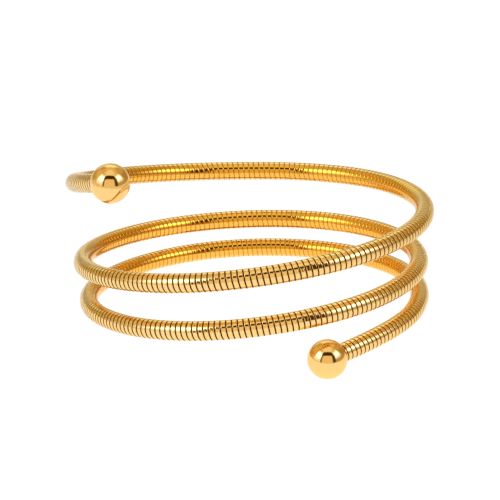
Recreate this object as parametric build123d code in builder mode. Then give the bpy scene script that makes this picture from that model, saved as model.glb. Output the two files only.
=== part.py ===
from build123d import *
import os
from math import atan2, cos, degrees, pi, radians, sin, tan

# A gold wrap bracelet: one springy round chain of tightly wound strip, coiled nearly
# three times round the wrist, with a polished ball closing each end.

# Driving dimensions, in millimetres and degrees.
chain_diameter = 3.3
ball_diameter = 6.7
coil_radius = 29.2
coil_rise = 30.3
coil_angle = 1006.3
lower_ball_angle = -66.5
side_lean = 4.0
socket_depth = 2.0
socket_clearance = 0.05

# The upright coil at evenly spaced places from the lower ball to the upper one:
# the centreline's radius as a share of coil_radius, its height as a share of coil_rise.
coil_rows = [
    # radius, height
    (0.997, 0.000),
    (0.979, 0.098),
    (0.983, 0.151),
    (0.986, 0.193),
    (0.989, 0.197),
    (0.988, 0.201),
    (0.986, 0.244),
    (0.987, 0.293),
    (0.987, 0.333),
    (0.991, 0.368),
    (1.002, 0.413),
    (1.012, 0.465),
    (1.023, 0.529),
    (1.037, 0.581),
    (1.040, 0.617),
    (1.030, 0.662),
    (1.030, 0.809),
    (0.990, 1.000),
]

# Each bend of the route is an arc as large as its two straight runs allow.
bend_share = 0.45

chain_radius = chain_diameter / 2
ball_radius = ball_diameter / 2
socket_floor = ball_radius - socket_depth
chain_end = socket_floor + socket_clearance


def with_halfway(values):
    """The values with one more between each two, on a smooth curve through four neighbours."""
    # The curve starts straight at the lower ball and levels off toward the upper one.
    before = 2 * values[0] - values[1]
    padded = [before, *values, values[-1]]
    filled = [values[0]]
    for i in range(1, len(values)):
        near = padded[i] + padded[i + 1]
        far = padded[i - 1] + padded[i + 2]
        filled.append((9 * near - far) / 16)
        filled.append(values[i])
    return filled


def upright_corners():
    """Corners of the route round an upright axis, from ball centre to ball centre."""
    radii = with_halfway([radius * coil_radius for radius, _ in coil_rows])
    heights = with_halfway([height * coil_rise for _, height in coil_rows])
    last = len(radii) - 1
    step = coil_angle / last
    corners = []
    for i, (radius, height) in enumerate(zip(radii, heights)):
        # A corner stands further out than the arc that rounds it; the two ends are on the line.
        reach = radius if i in (0, last) else radius / cos(radians(step / 2))
        angle = radians(lower_ball_angle + i * step)
        corners.append(Vector(reach * cos(angle), reach * sin(angle), height))
    return corners


def bend_radii(corners):
    """The radius of the arc at each inner corner."""
    radii = []
    for before, corner, after in zip(corners, corners[1:], corners[2:]):
        run_in = corner - before
        run_out = after - corner
        shorter_run = min(run_in.length, run_out.length)
        half_turn = radians(run_in.get_angle(run_out)) / 2
        radii.append(bend_share * shorter_run / tan(half_turn))
    return radii


def leaned(point, back_lean):
    """A point of the upright coil once the coil leans to its side and then to the back."""
    return point.rotate(Axis.Y, -side_lean).rotate(Axis.X, -back_lean)


# The upright route, and places along its smooth line close enough to measure it by.
upright = upright_corners()
radii = bend_radii(upright)
with BuildLine() as upright_line:
    FilletPolyline(*upright, radius=radii)
route_line = upright_line.wires()[0]
sample_count = 1000
samples = [route_line @ (i / sample_count) for i in range(sample_count + 1)]
quarter_turn = round(sample_count * 90 / coil_angle)

# The coil stands on its lower ball in front and on its first turn behind, so it leans
# back until the two are level, a little nearer with each step.
first_turn_back = samples[quarter_turn : 3 * quarter_turn]
levelling_steps = 8
back_lean = 0.0
for _ in range(levelling_steps):
    ball = leaned(samples[0], back_lean)
    contact = min((leaned(point, back_lean) for point in first_turn_back), key=lambda point: point.Z)
    gap = (contact.Z - chain_radius) - (ball.Z - ball_radius)
    back_lean += degrees(atan2(gap, contact.Y - ball.Y))

# The leaning coil is centred over its footprint and stands on the ground.
resting = [leaned(point, back_lean) for point in samples]
reaches = [(point, chain_radius) for point in resting]
reaches += [(resting[0], ball_radius), (resting[-1], ball_radius)]
left = min(point.X - reach for point, reach in reaches)
right = max(point.X + reach for point, reach in reaches)
front = min(point.Y - reach for point, reach in reaches)
rear = max(point.Y + reach for point, reach in reaches)
ground = min(point.Z - reach for point, reach in reaches)
middle = Vector((left + right) / 2, (front + rear) / 2, ground)
corners = [leaned(point, back_lean) - middle for point in upright]

# Each ball has a blind socket for its chain end, bored along the chain's first run.
lower_out = (corners[1] - corners[0]).normalized()
upper_out = (corners[-2] - corners[-1]).normalized()
balls = [
    ("lower_ball", corners[0], lower_out),
    ("upper_ball", corners[-1], upper_out),
]
os.makedirs("parts", exist_ok=True)
for label, centre, chain_side in balls:
    with BuildPart(Plane(origin=centre, z_dir=chain_side)) as end_ball:
        Sphere(ball_radius)
        with Locations((0, 0, ball_radius)):
            Hole(chain_radius + socket_clearance, depth=socket_depth)
    end_ball.part.label = label
    export_step(end_ball.part, f"parts/{label}.step")

# The chain is two lengths that meet face to face halfway along one straight run.
half = len(corners) // 2
meeting = (corners[half] + corners[half + 1]) / 2
lower_start = corners[0] + lower_out * chain_end
upper_end = corners[-1] + upper_out * chain_end
lengths = [
    ("lower_chain", [lower_start, *corners[1 : half + 1], meeting], radii[:half]),
    ("upper_chain", [meeting, *corners[half + 1 : -1], upper_end], radii[half:]),
]
for label, route, bends in lengths:
    with BuildPart() as chain:
        with BuildLine() as path:
            FilletPolyline(*route, radius=bends)
        with BuildSketch(Plane(origin=route[0], z_dir=route[1] - route[0])):
            Circle(chain_radius)
        sweep()
    chain.part.label = label
    export_step(chain.part, f"parts/{label}.step")
    length = path.wires()[0].length
    share = chain.part.volume / (pi * chain_radius**2 * length)
    print(f"{label}: length {length:.1f}, volume {share:.5f} of section times length")
    print("  bend radii", ", ".join(f"{bend:.1f}" for bend in bends))
print(f"back lean {back_lean:.2f}, middle {middle.X:.2f} {middle.Y:.2f} {middle.Z:.2f}")
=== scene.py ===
from math import asin, cos, pi, radians, sin, sqrt

import bmesh
import bpy
import numpy as np
from mathutils import Matrix, Vector


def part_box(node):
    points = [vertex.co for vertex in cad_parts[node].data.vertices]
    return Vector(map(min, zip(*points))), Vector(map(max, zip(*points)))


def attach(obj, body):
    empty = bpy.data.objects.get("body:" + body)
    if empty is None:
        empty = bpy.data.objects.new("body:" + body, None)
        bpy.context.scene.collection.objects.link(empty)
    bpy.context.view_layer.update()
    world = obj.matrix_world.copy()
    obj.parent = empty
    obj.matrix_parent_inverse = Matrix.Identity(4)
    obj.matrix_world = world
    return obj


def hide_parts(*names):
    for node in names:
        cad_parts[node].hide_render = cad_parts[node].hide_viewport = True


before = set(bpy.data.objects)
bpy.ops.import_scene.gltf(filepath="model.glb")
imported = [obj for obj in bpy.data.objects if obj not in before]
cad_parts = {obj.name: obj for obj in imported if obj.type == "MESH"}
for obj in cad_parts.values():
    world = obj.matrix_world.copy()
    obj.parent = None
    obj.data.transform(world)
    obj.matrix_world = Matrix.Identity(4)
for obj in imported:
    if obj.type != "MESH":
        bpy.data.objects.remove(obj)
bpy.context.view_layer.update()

# Camera: a long lens 45 cm away and 21 degrees above the table, held without tilt to either
# side. It looks at the middle of the coil, and both balls are on the near side.
aim = Vector((0.00007, -0.0020, 0.0125))
camera_distance = 0.450
camera_elevation = radians(21.0)
width_in_view = 0.0866
camera_data = bpy.data.cameras.new("camera")
camera_data.lens = camera_data.sensor_width * camera_distance / width_in_view
camera = bpy.data.objects.new("camera", camera_data)
toward_camera = Vector((0, -cos(camera_elevation), sin(camera_elevation)))
camera.location = aim + toward_camera * camera_distance
camera.rotation_euler = (pi / 2 - camera_elevation, 0, 0)
bpy.context.scene.collection.objects.link(camera)
bpy.context.scene.camera = camera

# Chain: a springy tube wound from two profiled strips of gold-plated brass, each turn
# gripping the next, so that it shows as narrow, nearly flat ribs with a dark seam between
# them. It is wound on a rod, coiled round a former and set, and its ends go into the balls.
coil_radius = 0.0292
coil_rise = 0.0303
coil_angle = radians(1006.3)
lower_ball_angle = radians(-66.5)
side_lean = radians(4.0)
back_lean = radians(6.34)
chain_radius = 0.00164
lower_pitch = 0.000910
upper_pitch = 0.000990
chain_inset = 0.0014

# The same route as the rods: the coil at evenly spaced places from ball to ball, its radius as
# a share of coil_radius and its height as a share of coil_rise.
coil_rows = [
    # radius, height
    (0.997, 0.000),
    (0.979, 0.098),
    (0.983, 0.151),
    (0.986, 0.193),
    (0.989, 0.197),
    (0.988, 0.201),
    (0.986, 0.244),
    (0.987, 0.293),
    (0.987, 0.333),
    (0.991, 0.368),
    (1.002, 0.413),
    (1.012, 0.465),
    (1.023, 0.529),
    (1.037, 0.581),
    (1.040, 0.617),
    (1.030, 0.662),
    (1.030, 0.809),
    (0.990, 1.000),
]


def with_halfway(values):
    """The values with one more between each two, on a smooth curve through four neighbours."""
    # The curve starts straight at the lower ball and levels off toward the upper one.
    before = 2 * values[0] - values[1]
    padded = [before, *values, values[-1]]
    filled = [values[0]]
    for i in range(1, len(values)):
        near = padded[i] + padded[i + 1]
        far = padded[i - 1] + padded[i + 2]
        filled.append((9 * near - far) / 16)
        filled.append(values[i])
    return filled


corner_radii = with_halfway([radius * coil_radius for radius, _ in coil_rows])
corner_heights = with_halfway([height * coil_rise for _, height in coil_rows])
last_corner = len(corner_radii) - 1
corner_step = coil_angle / last_corner
lean = Matrix.Rotation(-back_lean, 3, "X") @ Matrix.Rotation(-side_lean, 3, "Y")
coil_axis = lean @ Vector((0, 0, 1))
corners = []
for i, (radius, height) in enumerate(zip(corner_radii, corner_heights)):
    # A corner stands further out than the line that rounds it; the two ends are on the line.
    reach = radius if i in (0, last_corner) else radius / cos(corner_step / 2)
    angle = lower_ball_angle + i * corner_step
    corners.append(lean @ Vector((reach * cos(angle), reach * sin(angle), height)))

low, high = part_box("lower_ball")
lower_ball_centre = (Vector(low) + Vector(high)) / 2
shift = lower_ball_centre - corners[0]
corners = [corner + shift for corner in corners]

# The chain's centreline is one smooth spline that those corners pull round the wrist.
route_data = bpy.data.curves.new("chain_route", "CURVE")
route_data.dimensions = "3D"
route_data.resolution_u = 64
route_spline = route_data.splines.new("NURBS")
route_spline.points.add(len(corners) - 1)
for point, corner in zip(route_spline.points, corners):
    point.co = (*corner, 1)
route_spline.order_u = 3
route_spline.use_endpoint_u = True
route_object = bpy.data.objects.new("chain_route", route_data)
route_mesh = bpy.data.meshes.new_from_object(route_object)
line = np.array([vertex.co for vertex in route_mesh.vertices])
bpy.data.objects.remove(route_object)
bpy.data.curves.remove(route_data)
bpy.data.meshes.remove(route_mesh)

runs = np.linalg.norm(np.diff(line, axis=0), axis=1)
along = np.concatenate([[0.0], np.cumsum(runs)])
tangents = np.gradient(line, along, axis=0)
outward = np.cross(tangents, np.array(coil_axis))
outward /= np.linalg.norm(outward, axis=1)[:, None]
upward = np.cross(outward, tangents)
upward /= np.linalg.norm(upward, axis=1)[:, None]

# One rib along the chain, from the bottom of its seam: distance from the rib's middle, depth
# below its highest edge, and how much painted reflection it carries, gold painted deeper and
# redder beside the seam for gold mirrored in gold. The rib's back is a little hollow, and it
# drops steeply into a seam at both edges.
middle_pitch = (lower_pitch + upper_pitch) / 2
rib_edge = 0.000396
rib_rows = [
    # distance, depth, painted reflection
    (-middle_pitch / 2, 0.000060, 0.8),
    (-rib_edge, 0.000052, 0.8),
    (-0.000390, 0.000034, 0.8),
    (-0.000381, 0.000012, 0.4),
    (-0.000330, 0.000004, 0.12),
    (-0.000220, 0.000002, 0.0),
    (0.000000, 0.000012, 0.0),
    (0.000210, 0.000008, 0.0),
    (0.000340, 0.000001, 0.15),
    (0.000384, 0.000011, 0.45),
    (rib_edge, 0.000052, 0.8),
]
rows_per_rib = len(rib_rows)
points_around = 32

# Rows less deep than back_depth are the rib's back, which is the same all round. The rest are
# the seam. A side of the bend is a number from 1, its outer side, to -1, its inner side, and
# between these two sides the seam opens from less than half its depth to all of it.
back_depth = 0.000013
closed_side = -0.583
open_side = 0.333
closed_share = 0.45

# The strips of mesh that get the seam's painted shade, counted from the bottom of the seam, each
# with the side of the bend down to which the shade is painted. The last one is shaded all round.
shaded_seam_strips = {0: -0.25, 1: 0.0, rows_per_rib - 2: 0.0, rows_per_rib - 1: -1.1}
gold_slot = 0
seam_shade_slot = 1

# Painted reflection: the gold is painted deeper and redder beside the seams and inside the bend,
# where it would mirror other gold. Inside the bend it is a wide thin band, and thick only a
# little above the middle.
thin_painted_reflection = 0.55
painted_reflection_bands = [
    # angle above the middle, side where it begins, side where it is whole, painted reflection
    (radians(8), 0.55, 0.80, thin_painted_reflection),
    (radians(24), 0.92, 0.98, 1 - thin_painted_reflection),
]

chain_length = along[-1] - 2 * chain_inset
rib_count = round(chain_length / middle_pitch) - 1
pitch_growth = (upper_pitch - lower_pitch) / (rib_count + 1)

# No two ribs sit quite alike: each is tilted by a fraction of a degree.
usual_tilt = radians(0.35)
rib_tilts = np.random.default_rng(4).normal(0, usual_tilt, rib_count + 3)


def rib_start(ribs):
    """The place along the chain where this many ribs end; they widen a little toward the top."""
    return chain_inset + ribs * lower_pitch + ribs**2 * pitch_growth / 2


def at(places, values):
    """Values along the centreline, read at these places."""
    return np.stack([np.interp(places, along, values[:, i]) for i in range(3)], axis=-1)


def wound_strip(name, first_rib, last_rib):
    """A length of the wound chain: one strip that climbs by a rib in each turn about the chain."""
    row_count = (last_rib - first_rib) * rows_per_rib
    rows = np.arange(row_count + rows_per_rib + 1)
    ribs = first_rib + rows // rows_per_rib
    part_of_rib = rows % rows_per_rib
    offsets, depths, beside_seam = np.array(rib_rows)[part_of_rib].T
    in_seam = (part_of_rib == 0)[:, None]
    turn = np.arange(points_around) / points_around
    angle = turn * 2 * pi
    side = np.cos(angle)

    # The ribs are one width all round, so the seams open outside the bend and close inside it.
    stretch = 1 + chain_radius * side / coil_radius
    pitch = (lower_pitch + ribs * pitch_growth)[:, None]
    place = rib_start(ribs[:, None] + 0.5 + turn)
    place = place + offsets[:, None] * pitch / middle_pitch / np.where(in_seam, 1.0, stretch)

    # A tilted rib keeps its higher edge level with the others and sinks at its lower one.
    tilt = rib_tilts[ribs][:, None] * (1 - turn) + rib_tilts[ribs + 1][:, None] * turn
    lift = np.where(in_seam, 0.0, tilt * offsets[:, None] - np.abs(tilt) * rib_edge)
    opened = np.interp(side, (closed_side, open_side), (closed_share, 1))
    on_back = (depths < back_depth)[:, None]
    reach = chain_radius - depths[:, None] * np.where(on_back, 1.0, opened) + lift
    outer_share = side[None, :, None]
    lower_share = np.sin(angle)[None, :, None]
    across = outer_share * at(place, outward) - lower_share * at(place, upward)
    points = at(place, line) + reach[:, :, None] * across

    # The rows past the last whole one are needed only where the strip closes on itself.
    whole = points[: row_count + 1].reshape(-1, 3)
    closing = points[row_count + 1 :, 0]
    ends = at(place[[0, row_count], points_around // 2], line)
    vertices = np.concatenate([whole, closing, ends])

    def index(row, column):
        """A vertex by row and column. A turn ends in the first column, one rib further on."""
        if column == points_around:
            row, column = row + rows_per_rib, 0
        if row > row_count:
            return len(whole) + row - row_count - 1
        return row * points_around + column

    faces = []
    slots = []
    for row in range(row_count):
        # Seam faces get the painted shade where the gap is open, most toward the outside of the
        # bend.
        dark_to = shaded_seam_strips.get(row % rows_per_rib, 1.0)
        for column in range(points_around):
            near = index(row, column), index(row, column + 1)
            far = index(row + 1, column + 1), index(row + 1, column)
            faces.append((*near, *far))
            slots.append(seam_shade_slot if side[column] > dark_to else gold_slot)

    # Each end is closed by a fan of faces round a point on the centreline, in the seam's painted
    # shade.
    for row, centre in ((0, len(vertices) - 2), (row_count, len(vertices) - 1)):
        rim = [index(row, column) for column in range(points_around + 1)]
        rim += [index(row + step, 0) for step in range(rows_per_rib - 1, 0, -1)]
        for a, b in zip(rim, rim[1:] + rim[:1]):
            faces.append((b, a, centre) if row == 0 else (a, b, centre))
            slots.append(seam_shade_slot)

    # Painted reflection inside the bend: bands of deeper, redder gold where other strands would be
    # mirrored.
    inside_bend = np.zeros(points_around)
    for above, begins, whole_from, share in painted_reflection_bands:
        inner_side = -np.cos(angle - above)
        inside_bend += np.interp(inner_side, (begins, whole_from), (0, share))
    painted_reflection = np.clip(beside_seam[: row_count + 1, None] + inside_bend, 0, 1).ravel()

    mesh = bpy.data.meshes.new(name)
    mesh.from_pydata([tuple(v) for v in vertices], [], faces)
    painted_reflection = np.append(painted_reflection, np.zeros(len(vertices) - len(whole)))
    mesh.attributes.new("painted_reflection", "FLOAT", "POINT").data.foreach_set("value", painted_reflection)
    mesh.polygons.foreach_set("use_smooth", [True] * len(faces))
    mesh.polygons.foreach_set("material_index", slots)
    mesh.update()
    piece = bpy.data.objects.new(name, mesh)
    bpy.context.scene.collection.objects.link(piece)
    return piece


def linear(hex_colour):
    """A colour written as sRGB hex, as the linear red, green, blue and alpha that shaders take."""
    channels = [int(hex_colour[i : i + 2], 16) / 255 for i in (1, 3, 5)]
    return (*[c / 12.92 if c <= 0.04045 else ((c + 0.055) / 1.055) ** 2.4 for c in channels], 1)


def add_node(tree, kind, inputs=None, **settings):
    """Add a node with its settings, and fill its inputs with values or links."""
    node = tree.nodes.new(kind)
    for name, value in settings.items():
        setattr(node, name, value)
    for socket, value in (inputs or {}).items():
        if isinstance(value, bpy.types.NodeSocket):
            tree.links.new(value, node.inputs[socket])
        else:
            node.inputs[socket].default_value = value
    return node


def new_material(name):
    """A material with nothing in its node tree yet, and that tree."""
    material = bpy.data.materials.new(name)
    material.use_nodes = True
    material.node_tree.nodes.clear()
    return material, material.node_tree


# Gold plate on brass, rolled and burnished: each rib gives a bright, slightly soft reflection,
# and the gold is painted deeper in colour where painted reflection of gold in gold is laid on.
# The tint keeps reflections golden at a glancing angle. The wear comes in patches 1.1 mm wide,
# about as wide as a rib.
wear_width = 0.0011
chain_gold, tree = new_material("burnished_gold_plate")
place = add_node(tree, "ShaderNodeTexCoord").outputs["Object"]
wear = add_node(
    tree, "ShaderNodeTexNoise", {"Vector": place, "Scale": 1 / wear_width, "Detail": 3.0}
)
softness = add_node(
    tree, "ShaderNodeMapRange", {"Value": wear.outputs["Fac"], "To Min": 0.03, "To Max": 0.09}
)
rubbed = add_node(
    tree,
    "ShaderNodeMix",
    {"Factor": wear.outputs["Fac"], "A": linear("#F6CA77"), "B": linear("#F9CF7E")},
    data_type="RGBA",
)
# Painted reflection: two steps of deeper, redder gold laid over the plate, standing in for gold
# mirrored in gold.
painted_reflection = add_node(tree, "ShaderNodeAttribute", attribute_name="painted_reflection").outputs["Fac"]
plate = rubbed.outputs["Result"]
for bare, covered, colour in ((0.0, thin_painted_reflection, "#F1B949"), (thin_painted_reflection, 1.0, "#E8A836")):
    share = add_node(
        tree, "ShaderNodeMapRange", {"Value": painted_reflection, "From Min": bare, "From Max": covered}
    )
    plate = add_node(
        tree,
        "ShaderNodeMix",
        {"Factor": share.outputs["Result"], "A": plate, "B": linear(colour)},
        data_type="RGBA",
    ).outputs["Result"]
gold = add_node(
    tree,
    "ShaderNodeBsdfPrincipled",
    {
        "Base Color": plate,
        "Metallic": 1.0,
        "Roughness": softness.outputs["Result"],
        "Specular Tint": linear("#FFFDE5"),
    },
)
add_node(tree, "ShaderNodeOutputMaterial", {"Surface": gold.outputs["BSDF"]})

# The seam between two ribs: an unpolished strip, painted dark brown as painted shade for the
# shadow down in the gap. It gives the eye a fine brown line with hardly any shine.
seam_shade, tree = new_material("painted_seam_shade")
seam = add_node(
    tree,
    "ShaderNodeBsdfPrincipled",
    {
        "Base Color": linear("#461204"),
        "Metallic": 1.0,
        "Roughness": 0.5,
        "Specular Tint": linear("#95593F"),
    },
)
add_node(tree, "ShaderNodeOutputMaterial", {"Surface": seam.outputs["BSDF"]})

# The two halves of the chain meet at a rib just past the middle.
meeting_share = 0.505
meeting_rib = round(rib_count * meeting_share)
for node, first_rib, last_rib in (
    ("lower_chain", 0, meeting_rib),
    ("upper_chain", meeting_rib, rib_count),
):
    strip = wound_strip(node + "_strip", first_rib, last_rib)
    strip.data.materials.append(chain_gold)
    strip.data.materials.append(seam_shade)
    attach(strip, "root")
    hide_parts(node)

# Balls: turned brass, bored for the chain end, polished to a mirror and gold plated.
# Each is pressed and glued over its end of the chain.
ball_radius = 0.003346
bore_radius = 0.0017
bore_floor = 0.00135
lip_radius = 0.00008
lip_steps = 6
ball_rings = 64
ball_sides = 96


def turned_ball(name, centre, chain_side):
    """A ball turned about the line of its chain, with a rounded mouth to its bore."""
    # The lip's arc touches the ball from inside and the bore's wall from outside.
    lip_along = sqrt((ball_radius - lip_radius) ** 2 - (bore_radius + lip_radius) ** 2)
    mouth_angle = asin((bore_radius + lip_radius) / (ball_radius - lip_radius))
    outline = []
    for i in range(ball_rings + 1):
        angle = pi - (pi - mouth_angle) * i / ball_rings
        outline.append((ball_radius * cos(angle), ball_radius * sin(angle)))
    for i in range(1, lip_steps + 1):
        angle = mouth_angle - (mouth_angle + pi / 2) * i / lip_steps
        lip_out = bore_radius + lip_radius + lip_radius * sin(angle)
        outline.append((lip_along + lip_radius * cos(angle), lip_out))
    outline.append((bore_floor, bore_radius))
    outline.append((bore_floor, 0.0))
    shape = bmesh.new()
    vertices = [shape.verts.new((across, 0, depth)) for depth, across in outline]
    edges = [shape.edges.new(pair) for pair in zip(vertices, vertices[1:])]
    bmesh.ops.spin(
        shape,
        geom=vertices + edges,
        axis=(0, 0, 1),
        cent=(0, 0, 0),
        angle=2 * pi,
        steps=ball_sides,
        use_merge=True,
    )
    bmesh.ops.remove_doubles(shape, verts=shape.verts, dist=1e-7)
    bmesh.ops.recalc_face_normals(shape, faces=shape.faces)
    facing = chain_side.to_track_quat("Z", "Y").to_matrix().to_4x4()
    shape.transform(Matrix.Translation(centre) @ facing)
    mesh = bpy.data.meshes.new(name)
    shape.to_mesh(mesh)
    shape.free()
    mesh.polygons.foreach_set("use_smooth", [True] * len(mesh.polygons))
    piece = bpy.data.objects.new(name, mesh)
    bpy.context.scene.collection.objects.link(piece)
    return piece


# Hard gold plate on a lapped ball: the eye sees the whole room in it, a little softened by
# faint wiping marks 2.5 mm wide.
wiping_width = 0.0025
ball_gold, tree = new_material("mirror_polished_gold_plate")
place = add_node(tree, "ShaderNodeTexCoord").outputs["Object"]
wiping = add_node(
    tree, "ShaderNodeTexNoise", {"Vector": place, "Scale": 1 / wiping_width, "Detail": 4.0}
)
haze = add_node(
    tree, "ShaderNodeMapRange", {"Value": wiping.outputs["Fac"], "To Min": 0.07, "To Max": 0.12}
)
mirror = add_node(
    tree,
    "ShaderNodeBsdfPrincipled",
    {
        "Base Color": linear("#F6C973"),
        "Metallic": 1.0,
        "Roughness": haze.outputs["Result"],
        "Specular Tint": linear("#FFFAE5"),
    },
)
add_node(tree, "ShaderNodeOutputMaterial", {"Surface": mirror.outputs["BSDF"]})

for node, end, neighbour in (("lower_ball", 0, 1), ("upper_ball", -1, -2)):
    low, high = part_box(node)
    centre = (Vector(low) + Vector(high)) / 2
    ball = turned_ball(node + "_turned", centre, (corners[neighbour] - corners[end]).normalized())
    ball.data.materials.append(ball_gold)
    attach(ball, "root")
    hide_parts(node)

# Floor: one wide sheet of matt white card, which the bracelet rests on. It looks evenly white,
# and it glows with a painted pool of light that the gold mirrors, dimmer and warmer away from a
# spot in front of the coil's left side.
floor_size = 3.0
painted_light_spot = (-0.07, -0.05, 0)
bright_to = 0.10
dim_from = 0.21
shape = bmesh.new()
bmesh.ops.create_grid(shape, x_segments=1, y_segments=1, size=floor_size / 2)
floor_mesh = bpy.data.meshes.new("floor")
shape.to_mesh(floor_mesh)
shape.free()
floor = bpy.data.objects.new("floor", floor_mesh)
floor.location = painted_light_spot
bpy.context.scene.collection.objects.link(floor)

# Matt white card that glows with painted light: the eye sees even white, and it gives the gold
# its own painted brightness and colour to mirror. Its colours go above 1, so they are linear
# light, not hex.
white_card, tree = new_material("matt_white_card")
place = add_node(tree, "ShaderNodeTexCoord").outputs["Object"]
reach = add_node(tree, "ShaderNodeVectorMath", {0: place}, operation="LENGTH").outputs["Value"]
# The painted pool of light dims and warms away from the spot.
far = add_node(
    tree, "ShaderNodeMapRange", {"Value": reach, "From Min": bright_to, "From Max": dim_from}
).outputs["Result"]
falling = add_node(tree, "ShaderNodeMix", {"Factor": far, "A": 0.77, "B": 0.5}).outputs["Result"]
mirrored = add_node(
    tree,
    "ShaderNodeMix",
    {"Factor": far, "A": (1.0, 1.05, 1.41, 1), "B": (1.0, 0.97, 0.97, 1)},
    data_type="RGBA",
)
seen = add_node(tree, "ShaderNodeLightPath").outputs["Is Camera Ray"]
strength = add_node(tree, "ShaderNodeMix", {"Factor": seen, "A": falling, "B": 1.0})
colour = add_node(
    tree,
    "ShaderNodeMix",
    {"Factor": seen, "A": mirrored.outputs["Result"], "B": (1, 1, 1, 1)},
    data_type="RGBA",
)
white = add_node(
    tree,
    "ShaderNodeMix",
    {"Factor": seen, "A": linear("#F4F4F4"), "B": linear("#393939")},
    data_type="RGBA",
)
card = add_node(
    tree,
    "ShaderNodeBsdfPrincipled",
    {
        "Base Color": white.outputs["Result"],
        "Roughness": 0.9,
        "Emission Color": colour.outputs["Result"],
        "Emission Strength": strength.outputs["Result"],
    },
)
add_node(tree, "ShaderNodeOutputMaterial", {"Surface": card.outputs["BSDF"]})
floor_mesh.materials.append(white_card)

# Light: a white tent round the bracelet, with a soft box at each side, a bright back wall over
# dim lower walls, and a doorway in front with a dark frame. A wide lamp hangs over the floor.
lamp_size = 1.2
lamp_height = 1.0
lamp_watts = 1.5
world = bpy.data.worlds.new("white_tent")
bpy.context.scene.world = world
world.use_nodes = True
tree = world.node_tree
tree.nodes.clear()
direction = add_node(tree, "ShaderNodeTexCoord").outputs["Generated"]
axes = add_node(tree, "ShaderNodeSeparateXYZ", {"Vector": direction})
rightward, backward, skyward = axes.outputs[:3]
forward = add_node(
    tree, "ShaderNodeMath", {0: backward, 1: -1.0}, operation="MULTIPLY"
).outputs[0]
azimuth = add_node(
    tree, "ShaderNodeMath", {0: rightward, 1: forward}, operation="ARCTAN2"
).outputs[0]
side = add_node(tree, "ShaderNodeMath", {0: azimuth}, operation="ABSOLUTE").outputs[0]
elevation = add_node(tree, "ShaderNodeMath", {0: skyward}, operation="ARCSINE").outputs[0]

# The tilt of a direction is its angle from straight in front, up over the top and down behind.
tilt = add_node(tree, "ShaderNodeMath", {0: skyward, 1: forward}, operation="ARCTAN2").outputs[0]

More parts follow.
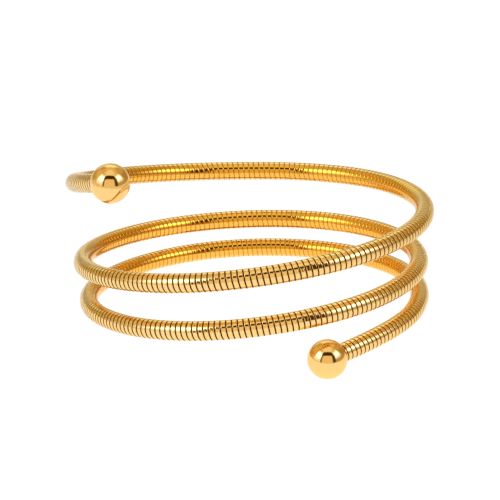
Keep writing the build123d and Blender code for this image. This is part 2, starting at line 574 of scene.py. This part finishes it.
# Each part of the tent lies over the ones before it. Its azimuth is measured from straight in
# front, positive to the right, and side is the same to both sides. Angles are in degrees, and
# each edge fades over twice its softness. Colours are linear light, above 1 in bright places.
tent_parts = [
    # azimuth, from, to, softness, elevation or tilt, from, to, softness, colour
    (azimuth, -200, -96, 14, elevation, -30, 58, 6, (0.56, 0.42, 0.20, 1)),
    (azimuth, -134, -94, 10, elevation, 22, 56, 8, (0.78, 0.63, 0.42, 1)),
    (azimuth, 96, 200, 14, elevation, -30, 58, 6, (0.44, 0.29, 0.12, 1)),
    (azimuth, 128, 200, 10, elevation, 24, 58, 8, (0.62, 0.47, 0.22, 1)),
    (azimuth, 110, 126, 6, elevation, 32, 56, 6, (0.68, 0.54, 0.30, 1)),
    (side, 60, 150, 15, elevation, 55, 65, 5, (0.60, 0.46, 0.27, 1)),
    (side, 150, 200, 10, elevation, -30, 28, 8, (0.62, 0.64, 0.62, 1)),
    (azimuth, -174, -146, 6, elevation, 13, 28, 4, (0.91, 0.94, 0.85, 1)),
    (azimuth, -200, -162, 6, elevation, -30, 6, 4, (0.84, 0.90, 0.93, 1)),
    (azimuth, -169, -156, 4, elevation, -10, 6, 4, (0.48, 0.46, 0.47, 1)),
    (azimuth, 140, 200, 12, elevation, -30, 10, 4, (0.50, 0.44, 0.36, 1)),
    (side, 158, 200, 8, elevation, 28, 56, 7, (1.15, 1.25, 1.35, 1)),
    (azimuth, -112, -58, 8, elevation, -30, 11, 5, (0.80, 0.70, 0.68, 1)),
    (azimuth, 46, 112, 8, elevation, -30, 18, 5, (0.50, 0.40, 0.31, 1)),
    (azimuth, -87, -41, 8, elevation, 6, 54, 8, (1.15, 1.29, 1.89, 1)),
    (azimuth, -79, -47, 8, elevation, 23, 46, 6, (4.5, 4.84, 6.22, 1)),
    (azimuth, 49, 93, 6, elevation, 18, 54, 8, (1.15, 1.29, 2.03, 1)),
    (azimuth, 57, 84, 7, elevation, 29, 45, 6, (4.5, 4.84, 6.49, 1)),
    (side, -20, 40, 4, elevation, -30, 46, 4, (0.93, 0.80, 0.68, 1)),
    (azimuth, -43, -34, 3, elevation, 0, 42, 3, (0.08, 0.048, 0.016, 1)),
    (azimuth, 30, 49, 3, elevation, -30, 42, 3, (0.08, 0.043, 0.014, 1)),
    (side, -20, 200, 3, elevation, 64, 100, 3, (1.0, 0.96, 0.88, 1)),
    (side, 85, 200, 20, elevation, 58, 75, 7, (0.80, 0.63, 0.42, 1)),
    (side, -20, 44, 3, tilt, 43, 65, 2, (0.06, 0.028, 0.001, 1)),
]

# The tent's own cloth shows where no part lies over it. A part's mask is 1 inside its four
# edges and 0 outside them.
tent = (0.92, 0.86, 0.81, 1)
for across, left, right, side_softness, up, bottom, top, softness, colour in tent_parts:
    mask = 1.0
    for angle, hidden, whole in (
        (across, left - side_softness, left + side_softness),
        (across, right + side_softness, right - side_softness),
        (up, bottom - softness, bottom + softness),
        (up, top + softness, top - softness),
    ):
        mask = add_node(
            tree,
            "ShaderNodeMapRange",
            {
                "Value": angle,
                "From Min": radians(hidden),
                "From Max": radians(whole),
                "To Max": mask,
            },
            interpolation_type="SMOOTHSTEP",
        ).outputs["Result"]
    tent = add_node(
        tree,
        "ShaderNodeMix",
        {"Factor": mask, "A": tent, "B": colour},
        data_type="RGBA",
    ).outputs["Result"]

# Behind the bracelet the camera sees plain white, and matt surfaces get only a little light.
light_path = add_node(tree, "ShaderNodeLightPath").outputs
for ray, colour in (("Is Camera Ray", (1, 1, 1, 1)), ("Is Diffuse Ray", (0.1, 0.1, 0.1, 1))):
    tent = add_node(
        tree,
        "ShaderNodeMix",
        {"Factor": light_path[ray], "A": tent, "B": colour},
        data_type="RGBA",
    ).outputs["Result"]
sky = add_node(tree, "ShaderNodeBackground", {"Color": tent})
add_node(tree, "ShaderNodeOutputWorld", {"Surface": sky.outputs["Background"]})

lamp_data = bpy.data.lights.new("wide_lamp", "AREA")
lamp_data.size = lamp_size
lamp_data.energy = lamp_watts
lamp = bpy.data.objects.new("wide_lamp", lamp_data)
lamp.location = (0, 0, lamp_height)
lamp.visible_glossy = False
bpy.context.scene.collection.objects.link(lamp)

# Colours reach the picture as they are, with no film look laid over them.
bpy.context.scene.view_settings.view_transform = "Standard"
